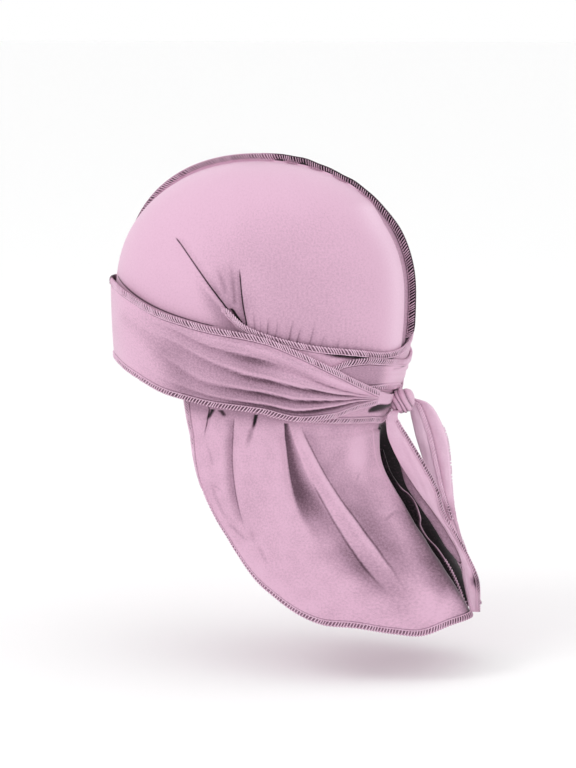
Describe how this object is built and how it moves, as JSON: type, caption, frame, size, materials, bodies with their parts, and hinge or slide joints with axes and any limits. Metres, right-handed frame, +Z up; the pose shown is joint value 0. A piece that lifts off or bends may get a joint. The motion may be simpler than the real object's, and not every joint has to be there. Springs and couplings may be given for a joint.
{
  "type": "durag",
  "caption": "Stretch-cloth durag as worn: crown panels joined by a standing seam, ties wrapped round the head and knotted behind, hanging tie ends and a neck cape.",
  "frame": {"origin": "middle of the head opening, level with the widest line of the head", "axes": "+Z up, the face looks along -Y, the wearer's left side is +X"},
  "size_m": [0.166, 0.252, 0.3089],
  "materials": {
    "jersey": "matt with a soft silky sheen, fine knit"
  },
  "bodies": {
    "root": {"crown_left": "jersey", "crown_right": "jersey", "tie_left": "jersey", "tie_right": "jersey", "knot": "jersey", "tail_left": "jersey", "tail_right": "jersey", "cape": "jersey"}
  },
  "joints": []
}
